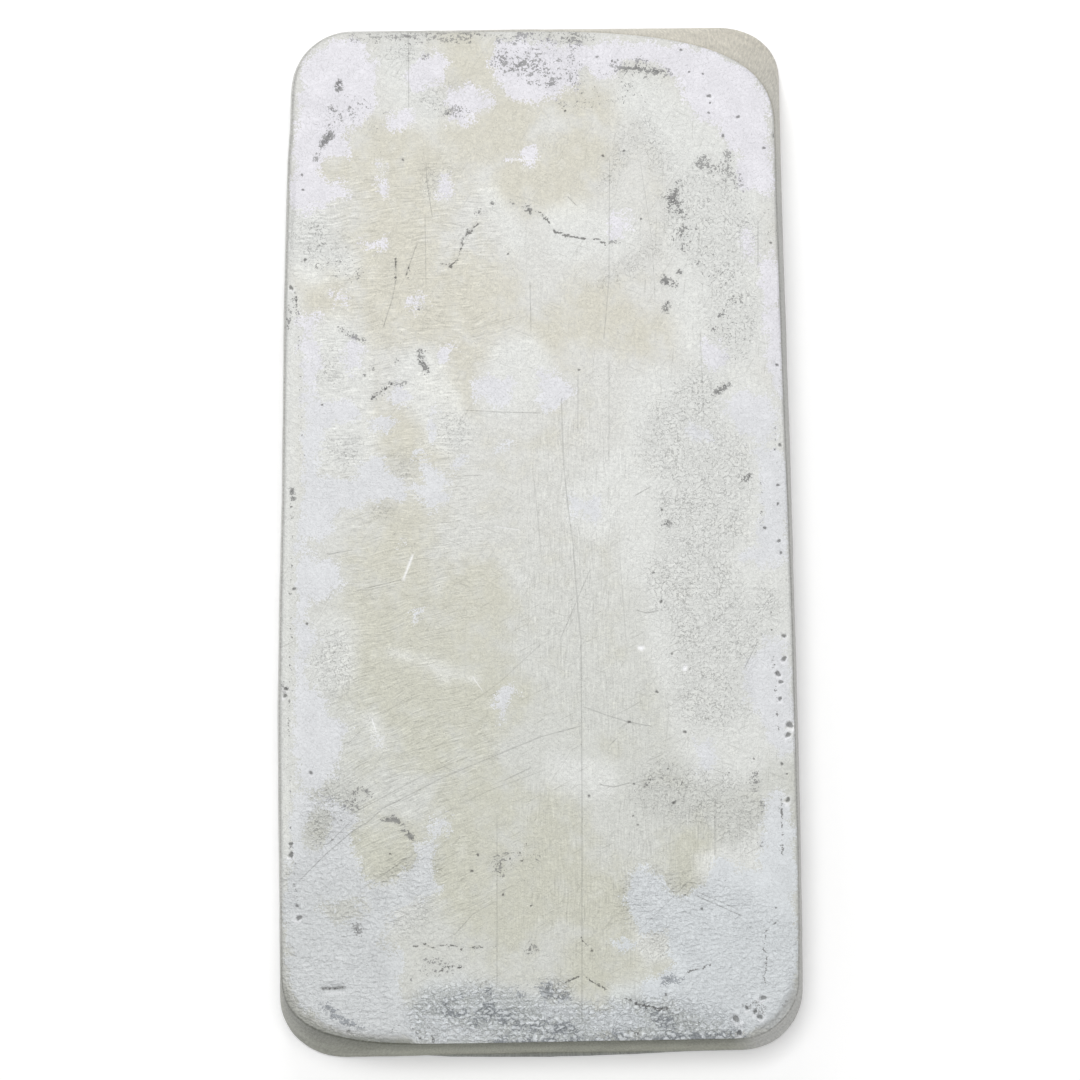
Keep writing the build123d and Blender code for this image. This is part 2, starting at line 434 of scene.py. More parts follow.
# Scratches, in the same form, and then the bright ones, the first of them a painted highlight along the
# dent's lower rim
SCRATCHES = [
    ([(408.6, 36), (408.6, 106)], 0.8, 0.28),
    ([(426, 165), (427, 182), (432, 215)], 0.7, 0.35),
    ([(416, 246), (406, 275)], 0.7, 0.35),
    ([(425, 217), (426, 285)], 0.6, 0.3),
    ([(396, 258), (396, 280), (392, 300), (384, 325)], 0.7, 0.4),
    ([(609.6, 160), (609, 280), (604, 337)], 0.8, 0.25),
    ([(568, 197), (576, 205)], 0.8, 0.4),
    ([(530, 283), (531, 330)], 0.8, 0.3),
    ([(464, 410), (500, 412), (540, 413)], 0.8, 0.3),
    ([(561.5, 400), (562.5, 435), (564, 469), (567.6, 504), (573, 545), (578, 609), (581, 640),
      (582, 800), (582, 1024)], 1.0, 0.25),
    ([(578, 376), (578, 431)], 0.7, 0.3),
    ([(609, 362), (609, 459)], 0.6, 0.25),
    ([(636, 495), (650, 487)], 0.8, 0.4),
    ([(688, 388), (674, 394)], 0.8, 0.35),
    ([(299, 881), (327, 853), (353, 831), (368, 822), (382, 809), (442, 778), (540, 737), (581, 726)],
     0.8, 0.3),
    ([(355, 812), (430, 772), (470, 756)], 0.7, 0.22),
    ([(330, 842), (352, 820)], 0.8, 0.25),
    ([(468, 705), (500, 682), (540, 645)], 0.7, 0.22),
    ([(350, 742), (375, 715), (420, 695)], 0.7, 0.2),
    ([(430, 820), (490, 790), (545, 770)], 0.7, 0.2),
    ([(360, 890), (420, 850), (450, 836)], 0.7, 0.2),
    ([(640, 160), (652, 240), (655, 300)], 0.6, 0.18),
    ([(690, 880), (640, 930)], 0.7, 0.2),
    ([(534, 480), (542, 560)], 0.6, 0.2),
    ([(620, 560), (626, 640)], 0.6, 0.2),
    ([(700, 330), (704, 420)], 0.6, 0.2),
    ([(470, 330), (520, 316)], 0.6, 0.2),
    ([(642, 788), (646, 781), (655, 777), (667, 775), (679, 779), (687, 788), (683, 798),
      (671, 803)], 1.2, 0.18),
    ([(584, 707), (609, 716), (629, 722), (650, 726)], 0.9, 0.3),
    ([(497, 817), (497, 982)], 0.8, 0.22),
    ([(697, 896), (738, 914)], 0.9, 0.35),
    ([(700, 893), (735, 908)], 0.8, 0.3),
    ([(360, 590), (400, 580)], 0.8, 0.3),
    ([(352, 550), (330, 554)], 0.8, 0.35),
    ([(505, 780), (530, 768)], 0.8, 0.3),
    ([(560, 640), (590, 570)], 0.7, 0.25),
    ([(456, 933), (473, 914), (494, 902)], 0.8, 0.25),
    ([(380, 877), (404, 860)], 0.9, 0.28),
    ([(639, 611), (647, 613), (657, 611)], 0.8, 0.4),
    ([(602, 785), (614, 787), (629, 783)], 0.8, 0.4),
    ([(745, 667), (757, 643)], 0.7, 0.35),
    ([(715, 800), (715, 852)], 0.8, 0.3),
    ([(610, 745), (617, 738)], 0.7, 0.4),
    ([(758, 222), (758, 265)], 0.8, 0.35),
    ([(465, 476), (480, 475)], 0.7, 0.35),
]
BRIGHT_SCRATCHES_AND_DENT_HIGHLIGHT = [
    # Painted highlight along the lower rim of the dent
    ([(327, 993.5), (345, 992.5)], 1.8, 0.4),
    ([(412, 557), (404, 578)], 2.0, 0.66),
    ([(506, 160), (540, 160)], 0.8, 0.6),
    ([(372, 719), (376, 731)], 0.9, 0.6),
    ([(474, 679), (482, 690)], 0.8, 0.5),
    ([(498, 527), (519, 530)], 0.9, 0.4),
]

# Pits, each with its place and radius in pixels and its depth in millimetres, and the bright ones
PITS = [
    (291, 288, 2.3, 0.25), (294, 589, 1.8, 0.2), (307, 624, 1.6, 0.15), (286, 689, 2.3, 0.25),
    (285, 696, 2.2, 0.25), (311, 773, 2.1, 0.2), (291, 844, 2.2, 0.2), (291, 855, 3.0, 0.3),
    (297, 906, 1.9, 0.2), (299, 918, 3.1, 0.25), (302, 175, 1.6, 0.1), (303, 190, 1.6, 0.1),
    (305, 260, 1.9, 0.15), (403, 160, 1.3, 0.1), (322, 405, 1.3, 0.1),
    (774, 136, 1.9, 0.2), (777, 365, 1.8, 0.2), (783, 411, 2.1, 0.2), (780, 445, 1.8, 0.2),
    (778, 485, 1.8, 0.2), (778, 504, 1.6, 0.2), (765, 528, 1.9, 0.2), (779, 541, 1.9, 0.25),
    (781, 553, 1.8, 0.2), (784, 636, 2.3, 0.25), (784, 659, 2.8, 0.3), (778, 674, 3.0, 0.3),
    (781, 682, 2.3, 0.25), (780, 699, 2.3, 0.25), (790, 725, 4.0, 0.4), (788, 735, 3.0, 0.3),
    (782, 764, 1.8, 0.2), (787, 774, 1.1, 0.1), (788, 800, 2.6, 0.3), (779, 281, 1.8, 0.2),
    (597, 57, 1.6, 0.1), (612, 61, 1.3, 0.1), (681, 50, 1.6, 0.1), (689, 72, 1.3, 0.1),
    (703, 74, 1.3, 0.1), (709, 96, 2.3, 0.15), (710, 103, 1.3, 0.1), (709, 113, 1.5, 0.1),
    (738, 117, 2.1, 0.15), (723, 136, 1.9, 0.2), (764, 148, 1.8, 0.15), (565, 111, 1.3, 0.1),
    (603, 156, 1.5, 0.1), (624, 151, 1.5, 0.1), (641, 219, 1.2, 0.1), (771, 243, 1.4, 0.1),
    (508, 254, 1.1, 0.1), (662, 510, 1.3, 0.1), (579, 370, 1.3, 0.1), (661, 602, 1.9, 0.15),
    (634, 784, 1.3, 0.1), (674, 803, 1.8, 0.15), (589, 796, 1.6, 0.1), (685, 732, 1.8, 0.15),
    (668, 769, 1.3, 0.1), (754, 759, 1.1, 0.1), (629, 722, 1.5, 0.1), (672, 654, 1.3, 0.1),
    (657, 692, 1.6, 0.1), (653, 573, 1.4, 0.1), (478, 855, 1.6, 0.1), (472, 871, 1.6, 0.1),
    (510, 859, 1.1, 0.1), (520, 853, 1.1, 0.1), (522, 861, 1.1, 0.1), (503, 895, 1.5, 0.1),
    (390, 854, 1.1, 0.1), (531, 906, 1.1, 0.1), (702, 909, 1.6, 0.15), (685, 895, 1.1, 0.1),
    (633, 816, 1.1, 0.1), (638, 825, 1.1, 0.1), (592, 951, 1.3, 0.1), (666, 995, 1.8, 0.15),
    (776, 908, 1.3, 0.1), (348, 1032, 2.2, 0.4), (736, 1019, 4.0, 0.4), (763, 998, 3.2, 0.3),
    (755, 1012, 2.6, 0.3), (760, 1017, 3.2, 0.35), (739, 1033, 3.0, 0.3), (747, 1008, 2.3, 0.25),
]
BRIGHT_PITS = [(641, 648, 3.4, 0.06), (685, 668, 3.2, 0.06)]

# A dent, as a stroke, and the painted shade along its upper side, as a line
DENTS = [[(325, 990, 2.2), (341, 989, 2.2)]]
DENT_SHADE_LINES = [([(323, 988.6), (332, 988.6), (343, 987.4)], 2.2, 0.65)]

# How far, in millimetres, the cast sides lie outside the drawn ones, by the pixel row or column
RIGHT_PUSH = [(200, 0.0), (400, 0.16), (600, 0.28), (850, 0.28), (980, 0.2), (1030, 0.0)]
RIGHT_FACE_PUSH = [(200, 0.0), (400, 0.1), (620, 0.28), (900, 0.28), (980, 0.1), (1020, 0.0)]
LEFT_PUSH = [(50, -0.2), (80, -0.4), (100, -0.32), (130, -0.2), (160, 0.0), (300, 0.12), (400, 0.0),
             (500, -0.08), (700, 0.0), (850, -0.14), (980, -0.18), (1030, -0.1)]
LIP_PUSH = [(425, 0.0), (450, 0.22), (500, 0.34), (550, 0.46), (600, 0.34), (650, 0.24), (700, 0.1),
            (750, 0.0)]

# Numbers of rays and lengths of the mesh, in millimetres
SIDE_STEPS = 134
END_STEPS = 288
SPINE = 30.0
RAY_REACH = 80.0
FACE_GRID = 0.42
WRINKLE_GRID = 0.22
WRINKLE_REACH = 9.0
MARK_GAP = 0.16
MARK_INSET = 0.1
FILL_INSET = 0.2
UNDER_GRID = 1.6
UNDER_INSET = 0.6
LIP_RINGS = [0.74, 0.95]
WALL_RINGS = np.linspace(1.6, 13.2, 13)
SHOULDER = 1.3
CORNER_ROLL = 1.1

# Depths of the relief, in millimetres
FACE_WAVE = 0.05
FACE_DIMPLE = 0.012
SAND_DEPTH = 0.03
FOLD_DEPTH = 0.11
SHOULDER_DROP = 0.06
CORNER_DROP = 0.32
DENT_DEPTH = 0.25
CRACK_DEPTH = 0.04
SCRATCH_DEPTH = 0.012
WALL_WAVE = 0.05
DRAG_DEPTH = 0.016
LIP_DEPTH = 0.12
POUR_RING = 0.04
POUR_LUMP = 0.03
CRISP_EDGE = 0.28
BUMP_DEPTH = 1.35

# Sizes of the relief's lumps, in millimetres
WAVE_SIZE = 22.0
DIMPLE_SIZE = 4.0
SAND_SIZE = 1.6
FOLD_SIZE = 1.7
WALL_WAVE_SIZE = 9.0
DRAG_SIZE = 1.1
LIP_SIZE = 3.0
POUR_RING_SIZE = 12.0
POUR_LUMP_SIZE = 5.0
POUR_HALF_WIDTH = 17.0
POUR_HALF_LENGTH = 42.0
RAGGED_SIZE = 0.7

# Brush marks, in millimetres: their sway, their start at the left, and the rays' step on the walls
SWAY = 0.8
SWAY_SIZE = 6.0
BRUSH_START = 30.0
RAY_STEP = 0.28

# Spans in millimetres over which things come in: to the sides, to the near end, and up the walls
SHOULDER_SIDES = (20.0, 26.0)
BRUSH_TURN = (-12.0, 34.0)
ROUGH_END = (25.0, 52.0)
SOFT_END = (47.0, 53.0)
CRISP_END = (50.0, 56.0)
LIP_END = (52.0, 56.0)
LIP_TOP = (0.6, 0.8)
LIP_STEP = (0.55, 0.75)
WALL_FOOT = (0.0, 0.3)

# Columns of pixels over which things come in or go out
SOFT_LEFT = (400, 430)
SOFT_RIGHT = (735, 765)
LIP_LEFT = (415, 440)
LIP_RIGHT = (748, 775)
NEAR_WALL_RIGHT = (730, 765)
FAR_WALL_LEFT = (330, 720)

# Soft borders of marks, from outside to inside, in pixels
SOFT_MARKS = (
    ("pale", PALE, -20, 14), ("tarnish", TARNISH, -44, 14), ("grain", GRAIN, -16, 12),
    ("sand", SAND, -14, 12), ("wrinkle", WRINKLE, -16, 10), ("ripple", RIPPLE, -10, 10),
)
SAND_BORDER = (-10, 16)
FOLD_BORDER = (-6, 10)
FINE_BORDER = -4
DENT_BORDER = (-3.0, 2.2)
BRUSH_BORDER = (-30, 20)

# The layers of grime, each with its weight and the most it reaches, in millimetres inside its border
GRIME_LAYERS = ((GRIME, 1.35, 0.48), (FLECKS, 1.0, 0.06), (SPARSE_FLECKS, 1.0, -0.22))

# Noise that the material reads: its name, the size of its lumps in millimetres and its seed
NOISE_FIELDS = (("blotch", 7.0, 1.0), ("mottle", 2.4, 6.0), ("rag", 1.5, 8.0))

# Pixels in a millimetre, from point to point on a line, astray on a ragged line, and past any mark
PIXELS_PER_MM = 8.86
LINE_STEP = 2.4
RAGGED = 2.4
FAR_OUT = 1000.0

# Places in the texture map, and the half length and half width in millimetres that it takes in
MAP_MARGIN = 0.01
MAP_WIDTH = 0.98
MAP_HALF_LENGTH = 59.3
MAP_HALF_WIDTH = 30.2
WALL_ROWS = 3
WALL_BASE = 0.29
WALL_PITCH = 0.085
WALL_TALL = 0.08
FACE_BASE = 0.55
FACE_TALL = 0.44
UNDER_BASE = 0.01
UNDER_TALL = 0.27
UNDER_WIDTH = 0.56

# Lamps and floor, in metres and watts
KEY_SPOT = (-0.025, 0.045, 0.60)
KEY_SIZE = 0.15
KEY_POWER = 1.96
SKIM_SPOT = (-0.05, 0.36, 0.18)
SKIM_SIZE = 0.16
SKIM_POWER = 0.35
WORLD_STRENGTH = 0.38
FLOOR_SIDE = 3.0
FLOOR_TONE = 0.9
FLOOR_GLOW = 0.19
CAMERA_REACH = 20.0


# Where a pixel lies

def camera_axes():
    """The camera's upward and backward directions, and its place in millimetres."""
    tilt = radians(CAMERA_TILT)
    up = np.array((0.0, cos(tilt), sin(tilt)))
    back = np.array((0.0, -sin(tilt), cos(tilt)))
    return up, back, np.array(CAMERA_AIM) + back * CAMERA_DISTANCE


def on_face(pixels):
    """The points of the face, in millimetres, that lie in these pixels."""
    pixels = np.asarray(pixels, float)
    up, back, eye = camera_axes()
    scale = SENSOR / LENS / PICTURE
    across = (pixels[:, 0] - PICTURE / 2) * scale
    above = (PICTURE / 2 - pixels[:, 1]) * scale
    rays = np.outer(across, (1.0, 0.0, 0.0)) + np.outer(above, up) - back
    reach = (FACE_HEIGHT - eye[2]) / rays[:, 2]
    return (eye + rays * reach[:, None])[:, :2]


def in_picture(points):
    """The pixels in which these points lie."""
    up, back, eye = camera_axes()
    away = points - eye
    scale = LENS / SENSOR * PICTURE / -(away @ back)
    return np.stack((PICTURE / 2 + away[:, 0] * scale, PICTURE / 2 - away @ up * scale), axis=1)


# Marks at a pixel, and noise

def smooth(values, low, high):
    """A soft step from 0 at the low value to 1 at the high one."""
    share = np.clip((values - low) / (high - low), 0.0, 1.0)
    return share * share * (3 - 2 * share)


def lumps(points, size, octaves=3, seed=0.0, stretch=(1.0, 1.0, 1.0)):
    """Smooth noise about 0, with lumps of that size."""
    scaled = points / size * np.array(stretch) + seed
    return np.array([noise.fractal(Vector(p), 1.0, 2.0, octaves) for p in scaled])


def stroke_depth(pixels, strokes):
    """How deep each pixel lies inside the nearest of the strokes, in pixels; less than 0 outside."""
    depth = np.full(len(pixels), -FAR_OUT)
    for stroke in strokes:
        run = np.array(stroke, float)
        for a, b in zip(run, run[1:] if len(run) > 1 else run):
            along = b[:2] - a[:2]
            share = (pixels - a[:2]) @ along / max(along @ along, 1e-9)
            share = np.clip(share, 0.0, 1.0)
            gap = np.linalg.norm(pixels - a[:2] - share[:, None] * along, axis=1)
            depth = np.maximum(depth, a[2] + share * (b[2] - a[2]) - gap)
    return depth


def loop_depth(points, loop):
    """How far inside a closed loop each point lies; less than 0 outside."""
    depth = np.full(len(points), FAR_OUT)
    inside = np.zeros(len(points), bool)
    for a, b in zip(loop, np.roll(loop, -1, axis=0)):
        along = b - a
        share = np.clip((points - a) @ along / (along @ along), 0.0, 1.0)
        depth = np.minimum(depth, np.linalg.norm(points - a - share[:, None] * along, axis=1))
        crosses = (a[1] > points[:, 1]) != (b[1] > points[:, 1])
        if along[1]:
            inside ^= crosses & (points[:, 0] < a[0] + along[0] * (points[:, 1] - a[1]) / along[1])
    return np.where(inside, depth, -depth)


def outline_depth(pixels, outlines):
    """How deep each pixel lies inside the nearest of the outlines, in pixels; less than 0 outside."""
    return np.max([loop_depth(pixels, np.array(outline, float)) for outline in outlines], axis=0)


def ragged(points, pixels):
    """The pixels shifted a little this way and that, for ragged lines."""
    shift = np.stack([lumps(points, RAGGED_SIZE, 2, seed) for seed in (20.0, 30.0)], axis=1)
    return pixels + RAGGED * shift


def line_share(pixels, lines):
    """The darkness of the lines at each pixel, full on a line's middle and 0 at its sides."""
    share = np.zeros(len(pixels))
    for run, half_width, darkness in lines:
        stroke = [(x, y, half_width) for x, y in run]
        share = np.maximum(share, stroke_depth(pixels, [stroke]) / half_width * darkness)
    return share


def pit_gap(pixels, pit, k):
    """How far each pixel lies from a pit's middle, where 1 is the pit's uneven edge, and how many
    radii below the middle."""
    x, y, radius, _ = pit
    across = pixels[:, 0] - x
    down = pixels[:, 1] - y
    turn = np.arctan2(down, across)
    uneven = 1 + 0.2 * np.sin(2 * turn + 2.4 * k) + 0.12 * np.sin(3 * turn + 1.7 * k)
    return np.hypot(across, down) / (radius * uneven), down / radius


def soft_corners(points, pixels):
    """Where the face rolls over softly into the wall, at both ends of the near edge."""
    middle = smooth(pixels[:, 0], *SOFT_LEFT) * (1 - smooth(pixels[:, 0], *SOFT_RIGHT))
    return smooth(-points[:, 1], *SOFT_END) * (1 - middle)


# The walls, the face and the pour face

def rays_round():
    """Starts and directions of the level rays that find the walls, all the way round."""
    rise = np.linspace(-SPINE, SPINE, SIDE_STEPS, endpoint=False)
    turn = np.linspace(0.0, pi, END_STEPS, endpoint=False)
    starts = []
    directions = []
    for side in (1.0, -1.0):
        starts += [(0.0, side * y) for y in rise] + [(0.0, side * SPINE)] * END_STEPS
        directions += [(side, 0.0)] * SIDE_STEPS + [(side * cos(a), side * sin(a)) for a in turn]
    return np.array(starts), np.array(directions)


def ring_heights():
    """Heights of the rings of the walls, from the floor up, close together on the edges."""
    low = [RIM_EDGE * (1 - sin(radians(a))) for a in (80, 62, 45, 30, 18)]
    high = [FACE_HEIGHT - FACE_EDGE * (1 - sin(radians(a))) for a in (0, 15, 30, 45, 58, 70, 81)]
    return np.array(low + LIP_RINGS + list(WALL_RINGS) + high)


def find_walls(tree, starts, directions, heights):
    """Rings of points on the drawn walls, one ring for each height."""
    rings = np.zeros((len(heights), len(starts), 3))
    for k, height in enumerate(heights):
        for i, (start, way) in enumerate(zip(starts, directions)):
            outside = start + way * RAY_REACH
            rings[k, i] = tree.ray_cast(Vector((*outside, height)), Vector((*-way, 0.0)))[0]
    return rings


def from_table(values, table):
    return np.interp(values, *zip(*table))


def push_out(rings, directions, heights):
    """How far the cast walls lie outside the drawn ones."""
    right = smooth(directions[:, 0], 0.5, 0.9)
    left = smooth(-directions[:, 0], 0.5, 0.9)
    near = smooth(-directions[:, 1], 0.8, 0.95)
    foot = 1 - smooth(heights, *LIP_TOP)
    out = np.zeros(rings.shape)
    for k, height in enumerate(heights):
        x, y = in_picture(rings[k]).T
        push = from_table(y, RIGHT_PUSH) + height / FACE_HEIGHT * from_table(y, RIGHT_FACE_PUSH)
        push = right * push + left * from_table(y, LEFT_PUSH) + near * foot[k] * from_table(x, LIP_PUSH)
        out[k, :, :2] = push[:, None] * directions
    return out


def grid(step, low, high):
    """Points of a three-way grid in a box."""
    points = []
    for row, y in enumerate(np.arange(low[1], high[1], step * 0.866)):
        for x in np.arange(low[0] + row % 2 * step / 2, high[0], step):
            points.append((x, y))
    return np.array(points)


def round_pits():
    """Points on rings round every pit."""
    points = []
    for x, y, radius, _ in PITS + BRIGHT_PITS:
        points.append((x, y))
        for share, count in ((0.5, 7), (1.0, 11), (1.45, 13)):
            for a in np.linspace(0.0, 2 * pi, count, endpoint=False):
                points.append((x + radius * share * cos(a), y + radius * share * sin(a)))
    return np.array(points)


def along_lines():
    """Points on the middles and on both sides of all cracks, scratches, rows of specks and painted
    lines at the dent, and the middles' edges.
    """
    points = []
    edges = []
    for run, half_width, _ in CRACKS + SCRATCHES + BRIGHT_SCRATCHES_AND_DENT_HIGHLIGHT + SPECK_ROWS + DENT_SHADE_LINES:
        spots = []
        for a, b in zip(run, run[1:]):
            count = max(2, int(hypot(b[0] - a[0], b[1] - a[1]) / LINE_STEP))
            for k in range(count):
                spots.append((a[0] + (b[0] - a[0]) * k / count, a[1] + (b[1] - a[1]) * k / count))
        spots.append(run[-1])
        spots = np.array(spots)
        way = np.gradient(spots, axis=0)
        way /= np.linalg.norm(way, axis=1)[:, None]
        side = np.stack((-way[:, 1], way[:, 0]), axis=1) * half_width
        first = len(points)
        points.extend(spots)
        edges.extend((first + k, first + k + 1) for k in range(len(spots) - 1))
        points.extend(spots + side)
        points.extend(spots - side)
    return np.array(points), edges


def far_from(points, others, gap):
    """True for the points with none of the others within the gap."""
    cells = {}
    for x, y in others:
        cells.setdefault((int(x // gap), int(y // gap)), []).append((x, y))
    free = np.ones(len(points), bool)
    for k, (x, y) in enumerate(points):
        i, j = int(x // gap), int(y // gap)
        for u in (i - 1, i, i + 1):
            for v in (j - 1, j, j + 1):
                for a, b in cells.get((u, v), ()):
                    if (a - x) ** 2 + (b - y) ** 2 < gap * gap:
                        free[k] = False
    return free


def fill_loop(loop, points, edges):
    """The points with the loop's first, and the triangles between them, with the edges kept."""
    count = len(loop)
    everything = [Vector(p) for p in loop] + [Vector(p) for p in points]
    ring = [(i, (i + 1) % count) for i in range(count)]
    lines = [(a + count, b + count) for a, b in edges]
    spots, _, faces, origins, _, _ = delaunay_2d_cdt(everything, ring + lines, [], 1, 1e-5)
    place = {}
    for new, old in enumerate(origins):
        for k in old:
            place[k] = new
    order = [place[i] for i in range(count)]
    taken = set(order)
    order += [k for k in range(len(spots)) if k not in taken]
    rank = np.empty(len(spots), int)
    rank[order] = np.arange(len(spots))
    return np.array([spots[k] for k in order]), rank[np.array(faces)]


def face_points(loop):
    """Points of the face inside its loop, with those of the pits and lines, and the lines' edges."""
    lines, edges = along_lines()
    marks = np.vstack((on_face(lines), on_face(round_pits())))
    kept = np.flatnonzero(loop_depth(marks, loop) > MARK_INSET)
    rank = {old: new for new, old in enumerate(kept)}
    edges = [(rank[a], rank[b]) for a, b in edges if a in rank and b in rank]
    marks = marks[kept]
    low = loop.min(axis=0)
    high = loop.max(axis=0)
    coarse = grid(FACE_GRID, low, high)
    fine = grid(WRINKLE_GRID, low, (high[0], low[1] + WRINKLE_REACH))
    lift = np.full((len(fine), 1), FACE_HEIGHT)
    fine = fine[stroke_depth(in_picture(np.hstack((fine, lift))), WRINKLE) > FINE_BORDER]
    coarse = coarse[far_from(coarse, fine, WRINKLE_GRID * 1.1)]
    fill = np.vstack((coarse, fine))
    fill = fill[loop_depth(fill, loop) > FILL_INSET]
    fill = fill[far_from(fill, marks, MARK_GAP)]
    return np.vstack((marks, fill)), edges


def fill_face(ring):
    """The face inside the top ring: its points, with the ring's first, and its triangles."""
    points, edges = face_points(ring[:, :2])
    spots, triangles = fill_loop(ring[:, :2], points, edges)
    face = np.hstack((spots, np.full((len(spots), 1), FACE_HEIGHT)))
    face[:len(ring)] = ring
    return face, triangles


def fill_under(ring, tree):
    """The drawn pour face inside the lowest ring, in the same form, seen from below."""
    loop = ring[:, :2]
    spread = grid(UNDER_GRID, loop.min(axis=0), loop.max(axis=0))
    spread = spread[loop_depth(spread, loop) > UNDER_INSET]
    spots, triangles = fill_loop(loop, spread, [])
    upward = Vector((0.0, 0.0, 1.0))
    below = [tree.ray_cast(Vector((*spot, -RAY_REACH)), upward)[0] for spot in spots[len(ring):]]
    return np.vstack((ring, np.array(below))), triangles[:, ::-1]


# Relief of the casting

def face_relief(points, pixels, edge):
    """How far the cast face stands above a plane."""
    side = smooth(np.abs(points[:, 0]), *SHOULDER_SIDES)
    near = smooth(-points[:, 1], *ROUGH_END)
    relief = FACE_WAVE * lumps(points, WAVE_SIZE, 2)
    relief += FACE_DIMPLE * lumps(points, DIMPLE_SIZE, 3, 5.0)
    sand = FACE_DIMPLE + SAND_DEPTH * smooth(stroke_depth(pixels, SAND), *SAND_BORDER)
    relief += sand * lumps(points, SAND_SIZE, 3, 11.0) * (0.3 + near)
    wrinkle = smooth(stroke_depth(pixels, WRINKLE), *FOLD_BORDER)
    folds = 1 - 2 * np.abs(lumps(points, FOLD_SIZE, 4, 3.0, (0.45, 1.0, 1.0)))
    relief += wrinkle * FOLD_DEPTH * (folds - 0.75)
    relief -= side * SHOULDER_DROP * (1 - smooth(edge, -0.2, SHOULDER))
    relief -= CORNER_DROP * soft_corners(points, pixels) * (1 - smooth(edge, 0.0, CORNER_ROLL))
    for k, pit in enumerate(PITS + BRIGHT_PITS):
        gap, _ = pit_gap(pixels, pit, k)
        relief -= pit[3] * np.clip(1 - gap * gap, 0, 1) ** 1.2
        relief += 0.15 * pit[3] * np.exp(-((gap - 1.25) / 0.3) ** 2)
    relief -= DENT_DEPTH * smooth(stroke_depth(pixels, DENTS), *DENT_BORDER)
    relief -= CRACK_DEPTH * line_share(ragged(points, pixels), CRACKS)
    relief -= SCRATCH_DEPTH * line_share(pixels, SCRATCHES)
    return relief


def wall_relief(points, pixels):
    """How far the walls stand out."""
    drag = lumps(points, DRAG_SIZE, 2, 7.0, (1.0, 1.0, 0.08))
    relief = WALL_WAVE * lumps(points, WALL_WAVE_SIZE, 3, 2.0) + DRAG_DEPTH * drag
    lip = smooth(pixels[:, 0], *LIP_LEFT) * (1 - smooth(pixels[:, 0], *LIP_RIGHT))
    lip *= smooth(-points[:, 1], *LIP_END)
    lip *= 1 + 0.5 * lumps(points, LIP_SIZE, 2, 9.0)
    low = smooth(points[:, 2], *LIP_STEP) * (1 - points[:, 2] / FACE_HEIGHT)
    return relief - LIP_DEPTH * lip * low


def under_relief(points):
    """The pour face: slow rings of the freezing metal."""
    reach = np.hypot(points[:, 0] / POUR_HALF_WIDTH, points[:, 1] / POUR_HALF_LENGTH)
    waves = np.sin(reach * 30.0 + 2.0 * lumps(points, POUR_RING_SIZE, 2))
    rough = lumps(points, POUR_LUMP_SIZE, 3, 4.0) * smooth(1 - reach, -0.2, 0.4)
    return POUR_RING * waves * np.clip(1 - reach, 0, 1) + POUR_LUMP * rough


# What the material reads at each point

def brush_lines(points, pixels, ring_total, count):
    """Places along and across the brush marks in millimetres, and how strong the marks are. On the
    walls the lines run down, as the mould drew them."""
    level = smooth(stroke_depth(pixels, LEVEL_BRUSH + SLANT_BRUSH), *BRUSH_BORDER)
    upright = 0.7 * smooth(stroke_depth(pixels, UPRIGHT_BRUSH), *BRUSH_BORDER)
    tilt = 0.1 + 0.36 * smooth(-points[:, 1], *BRUSH_TURN)
    sway = SWAY * lumps(points, SWAY_SIZE, 2, 12.0)
    along = points[:, 0].copy()
    across = points[:, 1] - (points[:, 0] + BRUSH_START) * tilt + sway
    turned = upright > level
    along[turned] = points[turned, 1]
    across[turned] = points[turned, 0] + sway[turned] * 0.4
    around = np.arange(ring_total) % count
    along[:ring_total] = points[:ring_total, 2]
    across[:ring_total] = np.minimum(around, count - around) * RAY_STEP
    return along, across, np.abs(level - upright)


def pit_marks(pixels):
    """The darkness of the pits, dirt painted darker on their upper side as shade, and the brightness of
    the bright pits and of the rims, a painted highlight strongest below.
    """
    dark = np.zeros(len(pixels))
    bright = np.zeros(len(pixels))
    for k, pit in enumerate(PITS + BRIGHT_PITS):
        gap, down = pit_gap(pixels, pit, k)
        if k < len(PITS):
            # Painted shade: each pit darker on its upper side
            dark = np.maximum(dark, np.clip(1.25 - gap, 0, 1) * (1 - 0.5 * smooth(down, -0.2, 0.9)))
            # Painted highlight on the rim, strongest on the lower side
            rim = (0.25 + 0.5 * smooth(down, 0.2, 1.0)) * np.exp(-((gap - 1.3) / 0.3) ** 2)
            rim *= smooth(pit[2], 1.7, 2.6)
        else:
            rim = np.clip(1.25 - gap, 0, 1)
        bright = np.maximum(bright, rim)
    return dark, bright


def mark_fields(points, pixels):
    """Every mark of the face by its name, with soft borders, or in millimetres from its border."""
    fields = {}
    for name, strokes, low, high in SOFT_MARKS:
        fields[name] = smooth(stroke_depth(pixels, strokes), low, high)
    for name, size, seed in NOISE_FIELDS:
        fields[name] = lumps(points, size, 3, seed)
    frost = np.minimum(outline_depth(pixels, FROST), -outline_depth(pixels, ISLANDS))
    fields["frost"] = np.clip(frost / PIXELS_PER_MM, -3, 3)
    fields["cold_shut"] = np.clip(outline_depth(pixels, COLD_SHUT) / PIXELS_PER_MM, -2, 0.5)
    grime = np.full(len(pixels), -2.0)
    for strokes, weight, most in GRIME_LAYERS:
        depth = stroke_depth(pixels, strokes) / PIXELS_PER_MM
        grime = np.maximum(grime, np.minimum(depth * weight, most))
    fields["grime"] = grime
    fields["crack"] = line_share(ragged(points, pixels), CRACKS + SPECK_ROWS)
    # Scratches, with the painted shade along the dent's upper side
    fields["scratch_and_dent_shade"] = line_share(pixels, SCRATCHES + DENT_SHADE_LINES)
    # Pit dirt painted darker above as shade, and the painted rim highlights joined to the bright lines
    fields["pit"], rims = pit_marks(pixels)
    fields["bright"] = np.maximum(line_share(pixels, BRIGHT_SCRATCHES_AND_DENT_HIGHLIGHT), rims)
    return fields


